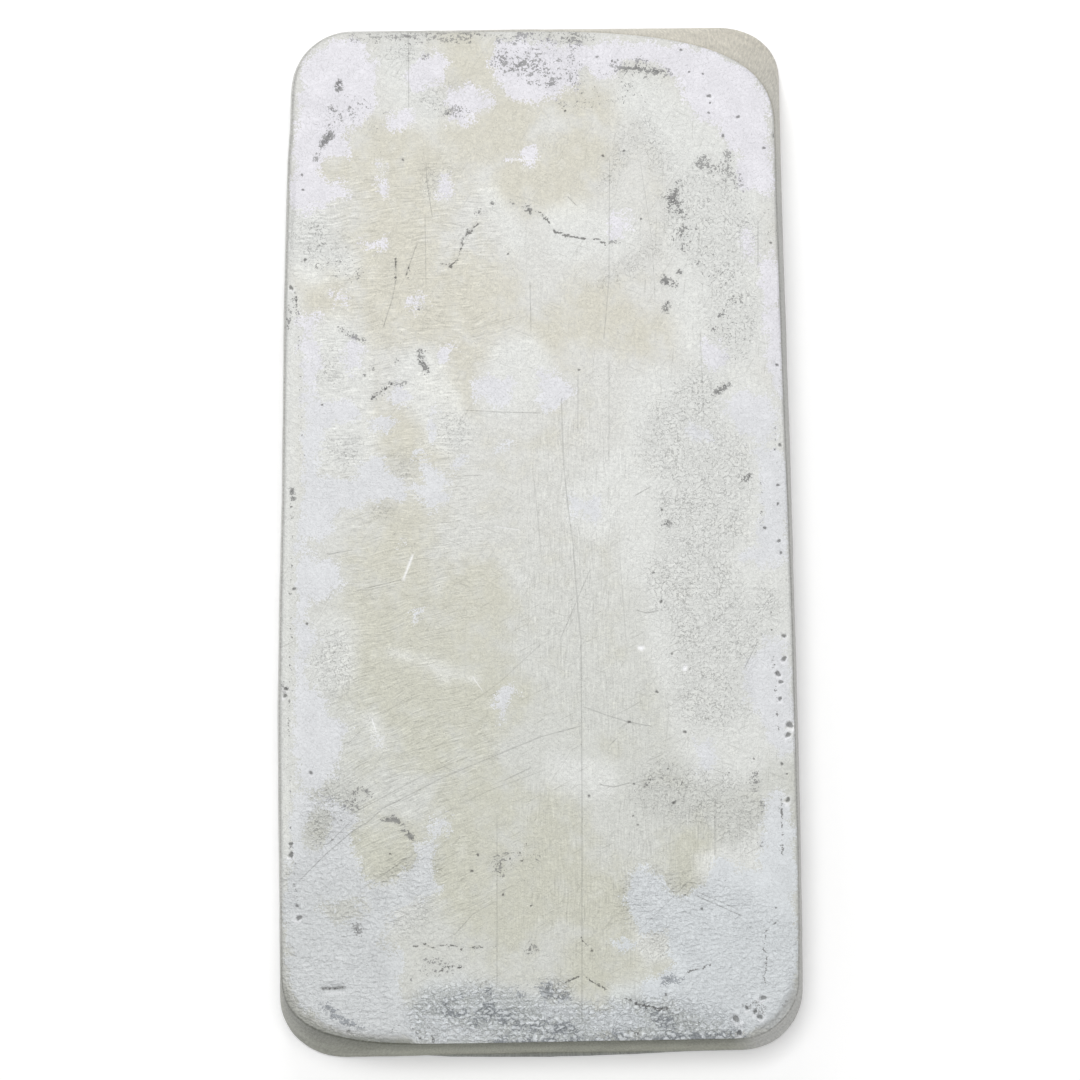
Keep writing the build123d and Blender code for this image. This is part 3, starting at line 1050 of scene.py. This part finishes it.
def bake_maps(rings, face, face_tris, under, under_tris):
    """Corners of the texture map: the face on top, the walls in rows, the pour face below."""
    corners = []
    rows, count, _ = rings.shape
    part = -(-count // WALL_ROWS)
    for k in range(rows - 1):
        for i in range(count):
            row = i // part
            left, right = ((i + n - row * part) / part * MAP_WIDTH + MAP_MARGIN for n in (0, 1))
            base = WALL_BASE + row * WALL_PITCH
            low, high = (base + (k + n) / (rows - 1) * WALL_TALL for n in (0, 1))
            corners += [(left, low), (right, low), (right, high), (left, high)]
    for points, triangles, base, tall, width in (
        (face, face_tris, FACE_BASE, FACE_TALL, MAP_WIDTH),
        (under, under_tris, UNDER_BASE, UNDER_TALL, UNDER_WIDTH),
    ):
        u = MAP_MARGIN + (points[:, 1] + MAP_HALF_LENGTH) / (2 * MAP_HALF_LENGTH) * width
        v = base + (points[:, 0] + MAP_HALF_WIDTH) / (2 * MAP_HALF_WIDTH) * tall
        corners += [(u[k], v[k]) for triangle in triangles for k in triangle]
    return np.array(corners)


def cast_mesh(node):
    """The ingot as it was cast, on the shape of its CAD node."""
    spots = [node.matrix_world @ v.co / MM for v in node.data.vertices]
    tree = BVHTree.FromPolygons(spots, [p.vertices for p in node.data.polygons])
    starts, directions = rays_round()
    heights = ring_heights()
    rings = find_walls(tree, starts, directions, heights)
    rings += push_out(rings, directions, heights)
    face, face_tris = fill_face(rings[-1])
    under, under_tris = fill_under(rings[0], tree)

    # The rings come first, then the rest of the face, then the rest of the pour face
    count = len(starts)
    ring_total = len(heights) * count
    face_end = ring_total + len(face) - count
    verts = np.vstack((rings.reshape(-1, 3), face[count:], under[count:]))
    under_rank = np.concatenate((np.arange(count), np.arange(face_end, len(verts))))
    faces = []
    for k in range(0, ring_total - count, count):
        for i in range(count):
            j = (i + 1) % count
            faces.append((k + i, k + j, k + count + j, k + count + i))
    faces += [tuple(t + ring_total - count) for t in face_tris]
    faces += [tuple(under_rank[t]) for t in under_tris]

    # How far each ring has turned from the wall to the face, and each point's way out and depth
    turn = np.clip((heights - (FACE_HEIGHT - FACE_EDGE)) / FACE_EDGE, 0, 1)
    rise = np.repeat(turn, count)
    out = np.zeros((len(verts), 3))
    out[:ring_total, :2] = np.tile(directions, (len(heights), 1))
    edge = loop_depth(verts[:, :2], rings[-1][:, :2])
    edge[:ring_total] = np.minimum(edge[:ring_total], 0.0)
    pixels = in_picture(verts)

    # The relief of the face, of the walls and of the pour face
    lid = np.zeros(len(verts))
    lid[:ring_total] = rise
    lid[ring_total:face_end] = 1.0
    body = np.zeros(len(verts))
    body[:ring_total] = np.repeat(smooth(heights, *WALL_FOOT) * (1 - turn), count)
    hollow = np.zeros(len(verts))
    hollow[face_end:] = 1.0
    moved = verts.copy()
    moved[:, 2] += face_relief(verts, pixels, edge) * lid
    moved += out * (wall_relief(verts, pixels) * body)[:, None]
    moved[:, 2] += np.maximum(under_relief(verts) * hollow, -verts[:, 2])

    # The near edge is crisp
    soft = soft_corners(verts, pixels)
    crisp = CRISP_EDGE * smooth(-verts[:ring_total, 1], *CRISP_END) * (1 - soft[:ring_total])
    crisp *= rise > 0
    lean = np.sqrt(np.clip(1 - rise * rise, 0, 1))
    moved[:ring_total, 2] += crisp * (1 - rise)
    moved[:ring_total] += out[:ring_total] * (crisp * (1 - lean))[:, None]

    fields = mark_fields(verts, pixels)
    fields["along"], fields["across"], fields["brush"] = brush_lines(verts, pixels, ring_total, count)
    fields["wall"] = np.ones(len(verts))
    fields["wall"][:ring_total] = 1 - smooth(rise, 0.5, 1.0)
    fields["wall"][ring_total:face_end] = 0.0
    fields["near_wall"] = smooth(-out[:, 1], 0.3, 0.9) * (1 - smooth(pixels[:, 0], *NEAR_WALL_RIGHT))
    fields["far_wall"] = smooth(out[:, 1], 0.2, 0.9) * smooth(pixels[:, 0], *FAR_WALL_LEFT)
    fields["soft"] = soft * (1 - smooth(edge, 0.0, CORNER_ROLL))

    mesh = bpy.data.meshes.new("cast_ingot")
    mesh.from_pydata((moved * MM).tolist(), [], faces)
    mesh.polygons.foreach_set("use_smooth", np.ones(len(faces), bool))
    layer = mesh.uv_layers.new(name="OFBake")
    layer.data.foreach_set("uv", bake_maps(rings, face, face_tris, under, under_tris).ravel())
    for name, values in fields.items():
        made = mesh.attributes.new(name, "FLOAT", "POINT")
        made.data.foreach_set("value", values.astype(np.float32))
    mesh.update()
    return mesh


# The material

def srgb(red, green, blue):
    """A colour from its screen values of 0 to 255."""
    values = []
    for part in (red / 255, green / 255, blue / 255):
        values.append(part / 12.92 if part <= 0.04045 else ((part + 0.055) / 1.055) ** 2.4)
    return (*values, 1.0)


# Skin and thin skin at the near end and at the far end, and the frosted silver up the face, the frost
# painted darker towards the near end as the light falls off
WARM = srgb(202, 202, 191), srgb(209, 207, 197)
PLAIN = srgb(215, 216, 212), srgb(221, 221, 218)
THIN = srgb(214, 218, 219), srgb(226, 227, 225)
NEAR_FROST = srgb(226, 228, 229), srgb(228, 231, 233)
MIDDLE_FROST = srgb(231, 232, 234)
FAR_FROST = srgb(236, 235, 239)

# The marks, and the dark and the pale of those that are mottled
DIRT = srgb(88, 88, 89), srgb(136, 136, 135)
SLAG = srgb(92, 98, 106), srgb(150, 155, 162)
HAIR = srgb(140, 139, 131)
CRACKLE = srgb(128, 128, 127)
# Painted shade in the valleys of the wrinkles, and painted highlight on their ridges
CREASE_SHADE = srgb(96, 101, 106)
RIDGE_HIGHLIGHT = srgb(234, 237, 239)
CRACK = srgb(88, 87, 84)
# Dark scratches, also the painted shade along the upper side of the dent
SCRATCH_AND_DENT_SHADE = srgb(96, 95, 92)
# Dirt in the pits, painted darker on their upper side as shade
PIT = srgb(88, 88, 86)
# Bright scratches and bright pits, also the painted highlights on the lower rims of the pits and of the
# dent
BRIGHT = srgb(248, 248, 250)

# The near wall from low to high, olive tarnish painted darker high up as shade under the face edge; the
# left and the right wall, the right painted darker as shade; and the far wall
OLIVE_SHADED = srgb(172, 173, 161), srgb(136, 138, 127)
SIDES_SHADED = srgb(208, 208, 205), srgb(190, 190, 187)
FAR_WALL = srgb(209, 205, 194)
# Painted shade along the foot of the far wall
FOOT_SHADE = srgb(126, 122, 112)
# Painted light on the lip at the foot of the near wall, as from the white floor
LIP_LIGHT = srgb(198, 201, 202)

# Places across the face, up the face and up the walls, in millimetres, between which colours change
NEAR_FROST_ACROSS = (-10.0, 15.0)
UPRIGHT_ACROSS = (-10.0, 4.0)
OLIVE_ACROSS = (-30.0, -12.0)
SIDE_SHADE_ACROSS = (-24.0, 0.0)
SKIN_UP = (-30.0, 25.0)
THIN_UP = (-54.0, -46.0)
RISING_UP = (-15.0, 15.0)
MIDDLE_FROST_UP = (-45.0, -20.0)
FAR_FROST_UP = (8.0, 28.0)
OLIVE_SHADE_HEIGHTS = (4.0, 14.0)
FOOT_SHADE_HEIGHTS = (0.2, 0.9)
LIP_LIGHT_HEIGHTS = (0.5, 0.9)

# Sizes of the noise's lumps, in millimetres
SALT_SIZE = 0.14
SPECK_SIZE = 0.27
GRIT_SIZE = 0.4
RIPPLE_SIZE = 0.5
CREASE_SIZE = 0.6


class Graph:
    """Short names for the nodes of one material."""

    def __init__(self, name):
        self.material = bpy.data.materials.new(name)
        self.material.use_nodes = True
        self.tree = self.material.node_tree
        self.tree.nodes.clear()

    def put(self, socket, value):
        if isinstance(value, bpy.types.NodeSocket):
            self.tree.links.new(value, socket)
        else:
            socket.default_value = value

    def node(self, kind, inputs=(), **settings):
        made = self.tree.nodes.new(kind)
        for name, value in settings.items():
            setattr(made, name, value)
        for key, value in dict(inputs).items():
            self.put(made.inputs[key], value)
        return made

    def field(self, name):
        return self.node("ShaderNodeAttribute", attribute_name=name).outputs["Fac"]

    def math(self, operation, *values):
        return self.node("ShaderNodeMath", enumerate(values), operation=operation).outputs[0]

    def times(self, a, b):
        return self.math("MULTIPLY", a, b)

    def less(self, a, b):
        return self.math("SUBTRACT", a, b)

    def most(self, first, *others):
        for other in others:
            first = self.math("MAXIMUM", first, other)
        return first

    def sum(self, start, *parts):
        """The start, with each value added at its weight."""
        for value, weight in parts:
            start = self.math("MULTIPLY_ADD", value, weight, start)
        return start

    def step(self, value, low, high, start=0.0, end=1.0):
        sockets = {"Value": value, "From Min": low, "From Max": high, "To Min": start, "To Max": end}
        made = self.node("ShaderNodeMapRange", sockets, interpolation_type="SMOOTHSTEP")
        return made.outputs[0]

    def scaled(self, vector, scale):
        return self.node("ShaderNodeVectorMath", {0: vector, 1: scale}, operation="MULTIPLY").outputs[0]

    def noise(self, vector, size, detail=2.0, roughness=0.5):
        """Noise about 0."""
        sockets = {"Vector": vector, "Scale": 1 / size, "Detail": detail, "Roughness": roughness}
        return self.less(self.node("ShaderNodeTexNoise", sockets).outputs["Fac"], 0.5)

    def shade(self, colour, amount):
        sockets = {0: colour, "Scale": amount}
        return self.node("ShaderNodeVectorMath", sockets, operation="SCALE").outputs[0]

    def mix(self, amount, a, b):
        made = self.node("ShaderNodeMix", {0: amount, 6: a, 7: b}, data_type="RGBA")
        return made.outputs[2]

    def blend(self, amount, a, b):
        return self.node("ShaderNodeMix", {0: amount, 2: a, 3: b}).outputs[0]


def hairs(g, place, angle):
    """Hair scratches, rising to the right at the angle."""
    sockets = {"Vector": place, "Angle": -radians(angle)}
    turned = g.node("ShaderNodeVectorRotate", sockets, rotation_type="Z_AXIS").outputs[0]
    return g.step(g.noise(g.scaled(turned, (0.3, 6.0, 0.1)), 1.0, 1.0), 0.18, 0.26)


def cast_silver():
    """Cast silver: a crackled skin with yellow tarnish, frosted patches, grime, cracks and pits."""
    g = Graph("cast_silver")
    spot = g.node("ShaderNodeTexCoord").outputs["Object"]
    place = g.shade(spot, 1 / MM)
    axes = g.node("ShaderNodeSeparateXYZ", {0: place}).outputs
    way_right = axes["X"]
    way_up = axes["Y"]
    height_up = axes["Z"]
    mottle = g.field("mottle")
    rag = g.field("rag")
    grain = g.field("grain")
    sand = g.field("sand")
    wrinkle = g.field("wrinkle")
    brush = g.field("brush")
    grime = g.field("grime")
    near_wall = g.field("near_wall")
    far_wall = g.field("far_wall")

    # Noise from the finest grain up, and the creases between the lumps of one of them
    salt = g.noise(place, SALT_SIZE, 0.0)
    speck = g.noise(place, SPECK_SIZE, 1.0)
    grit = g.noise(g.scaled(place, (0.65, 1.0, 1.0)), GRIT_SIZE)
    fold = g.noise(g.scaled(place, (0.25, 1.0, 1.0)), RIPPLE_SIZE, 1.0)
    crease = g.math("ABSOLUTE", g.noise(place, CREASE_SIZE, 3.0))
    crinkle = g.math("ABSOLUTE", g.noise(g.scaled(place, (0.7, 1.0, 1.0)), CREASE_SIZE, 3.0))
    along = g.field("along")
    across = g.sum(g.field("across"), (g.times(along, far_wall), 0.16))
    lines = g.node("ShaderNodeCombineXYZ", {0: g.times(along, 0.5), 1: g.times(across, 5.5)})
    hatch = g.noise(lines.outputs[0], 1.0, 1.0, 0.6)
    brushed = g.times(hatch, brush)
    dust = g.sum(speck, (salt, 0.8))
    crackle = g.times(g.step(crease, 0.0, 0.04, 1.0, 0.0), g.step(speck, -0.12, 0.06))

    # Yellow skin, patchy and thin where the silver is pale
    yellow = g.sum(g.field("tarnish"), (g.field("blotch"), 0.5), (mottle, 0.35), (dust, 0.5),
                   (rag, 0.4), (brushed, 0.4))
    yellow = g.step(yellow, -0.1, 1.15)
    far = g.step(way_up, *SKIN_UP)
    skin = g.mix(yellow, g.mix(far, *PLAIN), g.mix(far, *WARM))
    bare = g.sum(g.field("pale"), (mottle, 0.3), (rag, 0.3))
    thin = g.mix(g.step(way_up, *THIN_UP), *THIN)
    skin = g.mix(g.step(bare, 0.0, 1.0, 0.0, 0.75), skin, thin)

    # Brush marks, hair scratches and fine grey crackling in the skin
    strokes = g.less(g.step(hatch, 0.06, 0.2), g.step(hatch, -0.2, -0.06, 1.0, 0.0))
    skin = g.shade(skin, g.sum(1.0, (dust, 0.28), (g.times(strokes, brush), -0.12), (grit, 0.14)))
    rising = g.times(hairs(g, place, 27.0), g.step(way_up, *RISING_UP, 0.26, 0.0))
    upright = g.times(hairs(g, place, 86.0), g.step(way_right, *UPRIGHT_ACROSS, 0.0, 0.18))
    crossing = g.times(g.most(hairs(g, place, 58.0), hairs(g, place, -21.0)), 0.16)
    skin = g.mix(g.most(rising, upright, crossing), skin, HAIR)
    crackled = g.times(crackle, g.sum(0.2, (grain, 0.34)))
    crackled = g.times(crackled, g.step(g.sum(mottle, (rag, 1.0)), -0.5, 0.4, 0.35, 1.15))
    specked = g.step(g.sum(dust, (grain, 0.14)), 0.29, 0.4, 0.0, 0.44)
    skin = g.mix(g.most(crackled, specked), skin, CRACKLE)

    # Frosted patches with a ragged, speckled border
    frost = g.sum(g.field("frost"), (rag, 0.9), (dust, 1.7), (grit, 1.1), (brushed, 1.6))
    frosted = g.step(frost, -0.2, 0.35, 0.0, 0.94)
    # The frost painted darker towards the near end, adding to the fall-off of the light
    clean = g.mix(g.step(way_right, *NEAR_FROST_ACROSS), *NEAR_FROST)
    clean = g.mix(g.step(way_up, *MIDDLE_FROST_UP), clean, MIDDLE_FROST)
    clean = g.mix(g.step(way_up, *FAR_FROST_UP), clean, FAR_FROST)
    clean = g.shade(clean, g.sum(1.0, (mottle, 0.04), (dust, 0.14), (crackle, -0.14)))
    colour = g.mix(frosted, skin, clean)

    # Grime, cold shuts, the wrinkles' painted shade and highlights, cracks, scratches and pits, with
    # painted shade and highlights at the pits and the dent
    soiled = g.step(g.sum(grit, (grime, 0.9), (dust, 1.2), (rag, 0.3)), 0.14, 0.3)
    dirt = g.mix(g.step(grit, -0.15, 0.15), *DIRT)
    colour = g.mix(g.times(soiled, g.step(grime, 0.1, 0.45, 0.66, 0.8)), colour, dirt)
    shut = g.sum(g.field("cold_shut"), (dust, 1.9), (grit, 1.4), (rag, 0.8))
    shut = g.step(shut, 0.05, 0.45)
    slag = g.mix(g.step(speck, -0.15, 0.15), *SLAG)
    colour = g.mix(g.times(shut, 0.66), colour, slag)
    # Painted shade in the valleys of the crinkles, and painted highlight on their ridges, as if lit
    # from the far end
    crease_shade = g.times(g.step(crinkle, 0.0, 0.03, 0.28, 0.0), g.step(speck, -0.15, 0.1))
    colour = g.mix(g.times(crease_shade, wrinkle), colour, CREASE_SHADE)
    ridge_highlight = g.step(crinkle, 0.04, 0.11, 0.0, 0.78)
    colour = g.mix(g.times(ridge_highlight, wrinkle), colour, RIDGE_HIGHLIGHT)
    cracked = g.field("crack")
    broken = g.sum(cracked, (dust, 0.9), (grit, 0.9))
    cracked = g.times(g.step(broken, 0.4, 0.6), g.step(cracked, 0.02, 0.12))
    colour = g.mix(g.times(cracked, 0.72), colour, CRACK)
    # Scratches, and the painted shade along the upper side of the dent
    colour = g.mix(g.times(g.field("scratch_and_dent_shade"), g.sum(1.0, (dust, 2.2))), colour, SCRATCH_AND_DENT_SHADE)
    # Dirt in the pits, painted darker on their upper side as shade
    pit = g.step(g.sum(g.field("pit"), (dust, 0.5)), 0.2, 0.55)
    colour = g.mix(g.times(pit, 0.6), colour, PIT)
    # Bright scratches and bright pits, with the painted highlights on the rims of the pits and the dent
    colour = g.mix(g.field("bright"), colour, BRIGHT)

    # Walls, with the marks of the mould drawn down them, and with painted shade and light
    # The near wall's olive tarnish, painted darker high up as shade under the face edge, and darker
    # towards the left end
    olive_shaded = g.mix(g.step(height_up, *OLIVE_SHADE_HEIGHTS), *OLIVE_SHADED)
    olive_shaded = g.shade(olive_shaded, g.step(way_right, *OLIVE_ACROSS, 0.74, 1.0))
    # The left and the right wall, the right painted darker as shade, the light being from the left
    flank = g.mix(g.step(way_right, *SIDE_SHADE_ACROSS), *SIDES_SHADED)
    flank = g.mix(near_wall, flank, olive_shaded)
    flank = g.mix(far_wall, flank, FAR_WALL)
    # Painted shade along the foot of the far wall
    flank = g.mix(g.times(g.step(height_up, *FOOT_SHADE_HEIGHTS, 0.5, 0.0), far_wall), flank, FOOT_SHADE)
    # Painted light on the lip at the foot of the near wall, as from the white floor
    flank = g.mix(g.times(g.step(height_up, *LIP_LIGHT_HEIGHTS, 0.7, 0.0), near_wall), flank, LIP_LIGHT)
    flank = g.shade(flank, g.sum(1.0, (dust, 0.25), (mottle, 0.09), (hatch, 0.6)))
    walled = g.step(g.sum(g.field("wall"), (dust, 0.3)), 0.3, 0.6)
    # The walls' colours, with their painted shade and light, also cover the corners where the face
    # rolls over softly
    rolled = g.step(g.sum(g.field("soft"), (dust, 0.4)), 0.2, 0.9, 0.0, 0.6)
    colour = g.mix(g.most(walled, rolled), colour, flank)

    # Relief too fine for the mesh, in millimetres
    groove = g.step(crease, 0.0, 0.1, 1.0, 0.0)
    height = g.sum(
        g.times(salt, 0.004),
        (grit, g.sum(0.02, (sand, 0.14), (wrinkle, 0.12))),
        (speck, g.sum(0.014, (sand, 0.03), (grain, 0.02))),
        (groove, g.sum(-0.008, (sand, -0.01), (wrinkle, -0.05), (grain, -0.008))),
        (fold, g.sum(g.times(g.field("ripple"), 0.12), (wrinkle, 0.08))),
        (crinkle, g.times(wrinkle, 0.32)),
        (hatch, g.sum(g.times(walled, 0.02), (brush, -0.02))),
    )
    bump = g.node("ShaderNodeBump", {"Height": height, "Distance": BUMP_DEPTH * MM, "Strength": 1.0})

    dull = g.most(soiled, g.times(shut, 0.6), cracked, pit)
    rough = g.blend(frosted, g.blend(yellow, 0.74, 0.70), 0.8)
    rough = g.blend(dull, rough, 0.85)
    metal = g.blend(dull, 0.95, 0.35)
    shader = g.node(
        "ShaderNodeBsdfPrincipled",
        {"Base Color": colour, "Roughness": rough, "Metallic": metal, "Normal": bump.outputs[0]},
    )
    g.node("ShaderNodeOutputMaterial", {"Surface": shader.outputs[0]})
    return g.material


# The stage

def floor():
    """A white floor: the camera, and what mirrors it, see it white, and the shadow stays on it."""
    g = Graph("white_floor")
    path = g.node("ShaderNodeLightPath").outputs
    seen = g.most(path["Is Camera Ray"], path["Is Glossy Ray"], path["Is Transmission Ray"])
    shader = g.node(
        "ShaderNodeBsdfPrincipled",
        {"Base Color": (FLOOR_TONE, FLOOR_TONE, FLOOR_TONE, 1.0), "Roughness": 1.0,
         "Specular IOR Level": 0.0, "Emission Color": (1.0, 1.0, 1.0, 1.0),
         "Emission Strength": g.times(seen, FLOOR_GLOW)},
    )
    g.node("ShaderNodeOutputMaterial", {"Surface": shader.outputs[0]})
    mesh = bpy.data.meshes.new("floor")
    corners = [(x * FLOOR_SIDE, y * FLOOR_SIDE, 0) for x, y in ((-1, -1), (1, -1), (1, 1), (-1, 1))]
    mesh.from_pydata(corners, [], [(0, 1, 2, 3)])
    mesh.materials.append(g.material)
    made = bpy.data.objects.new("floor", mesh)
    bpy.context.collection.objects.link(made)
    return made


def lamp(name, spot, size, power):
    """A square lamp that shines at the middle of the floor."""
    light = bpy.data.lights.new(name, "AREA")
    light.shape = "SQUARE"
    light.size = size
    light.energy = power
    made = bpy.data.objects.new(name, light)
    made.location = spot
    made.rotation_euler = (-Vector(spot)).to_track_quat("-Z", "Y").to_euler()
    bpy.context.collection.objects.link(made)


def world():
    """Plain white light from all round."""
    made = bpy.data.worlds.new("studio")
    bpy.context.scene.world = made
    made.use_nodes = True
    back = made.node_tree.nodes["Background"]
    back.inputs["Color"].default_value = (1.0, 1.0, 1.0, 1.0)
    back.inputs["Strength"].default_value = WORLD_STRENGTH


def camera():
    """The photograph's camera, nearly straight above."""
    data = bpy.data.cameras.new("camera")
    data.lens = LENS
    data.sensor_width = SENSOR
    data.clip_end = CAMERA_REACH
    made = bpy.data.objects.new("camera", data)
    _, _, eye = camera_axes()
    made.location = eye * MM
    made.rotation_euler = (radians(CAMERA_TILT), 0.0, 0.0)
    bpy.context.collection.objects.link(made)
    bpy.context.scene.camera = made


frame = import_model()
ingot = bpy.data.objects.new("cast_ingot", cast_mesh(frame["nodes"]["ingot"]))
bpy.context.collection.objects.link(ingot)
ingot.data.materials.append(cast_silver())
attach(ingot, "root")
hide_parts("ingot")
floor()
lamp("key", KEY_SPOT, KEY_SIZE, KEY_POWER)
lamp("skim", SKIM_SPOT, SKIM_SIZE, SKIM_POWER)
world()
camera()
bpy.context.scene.view_settings.view_transform = "Standard"
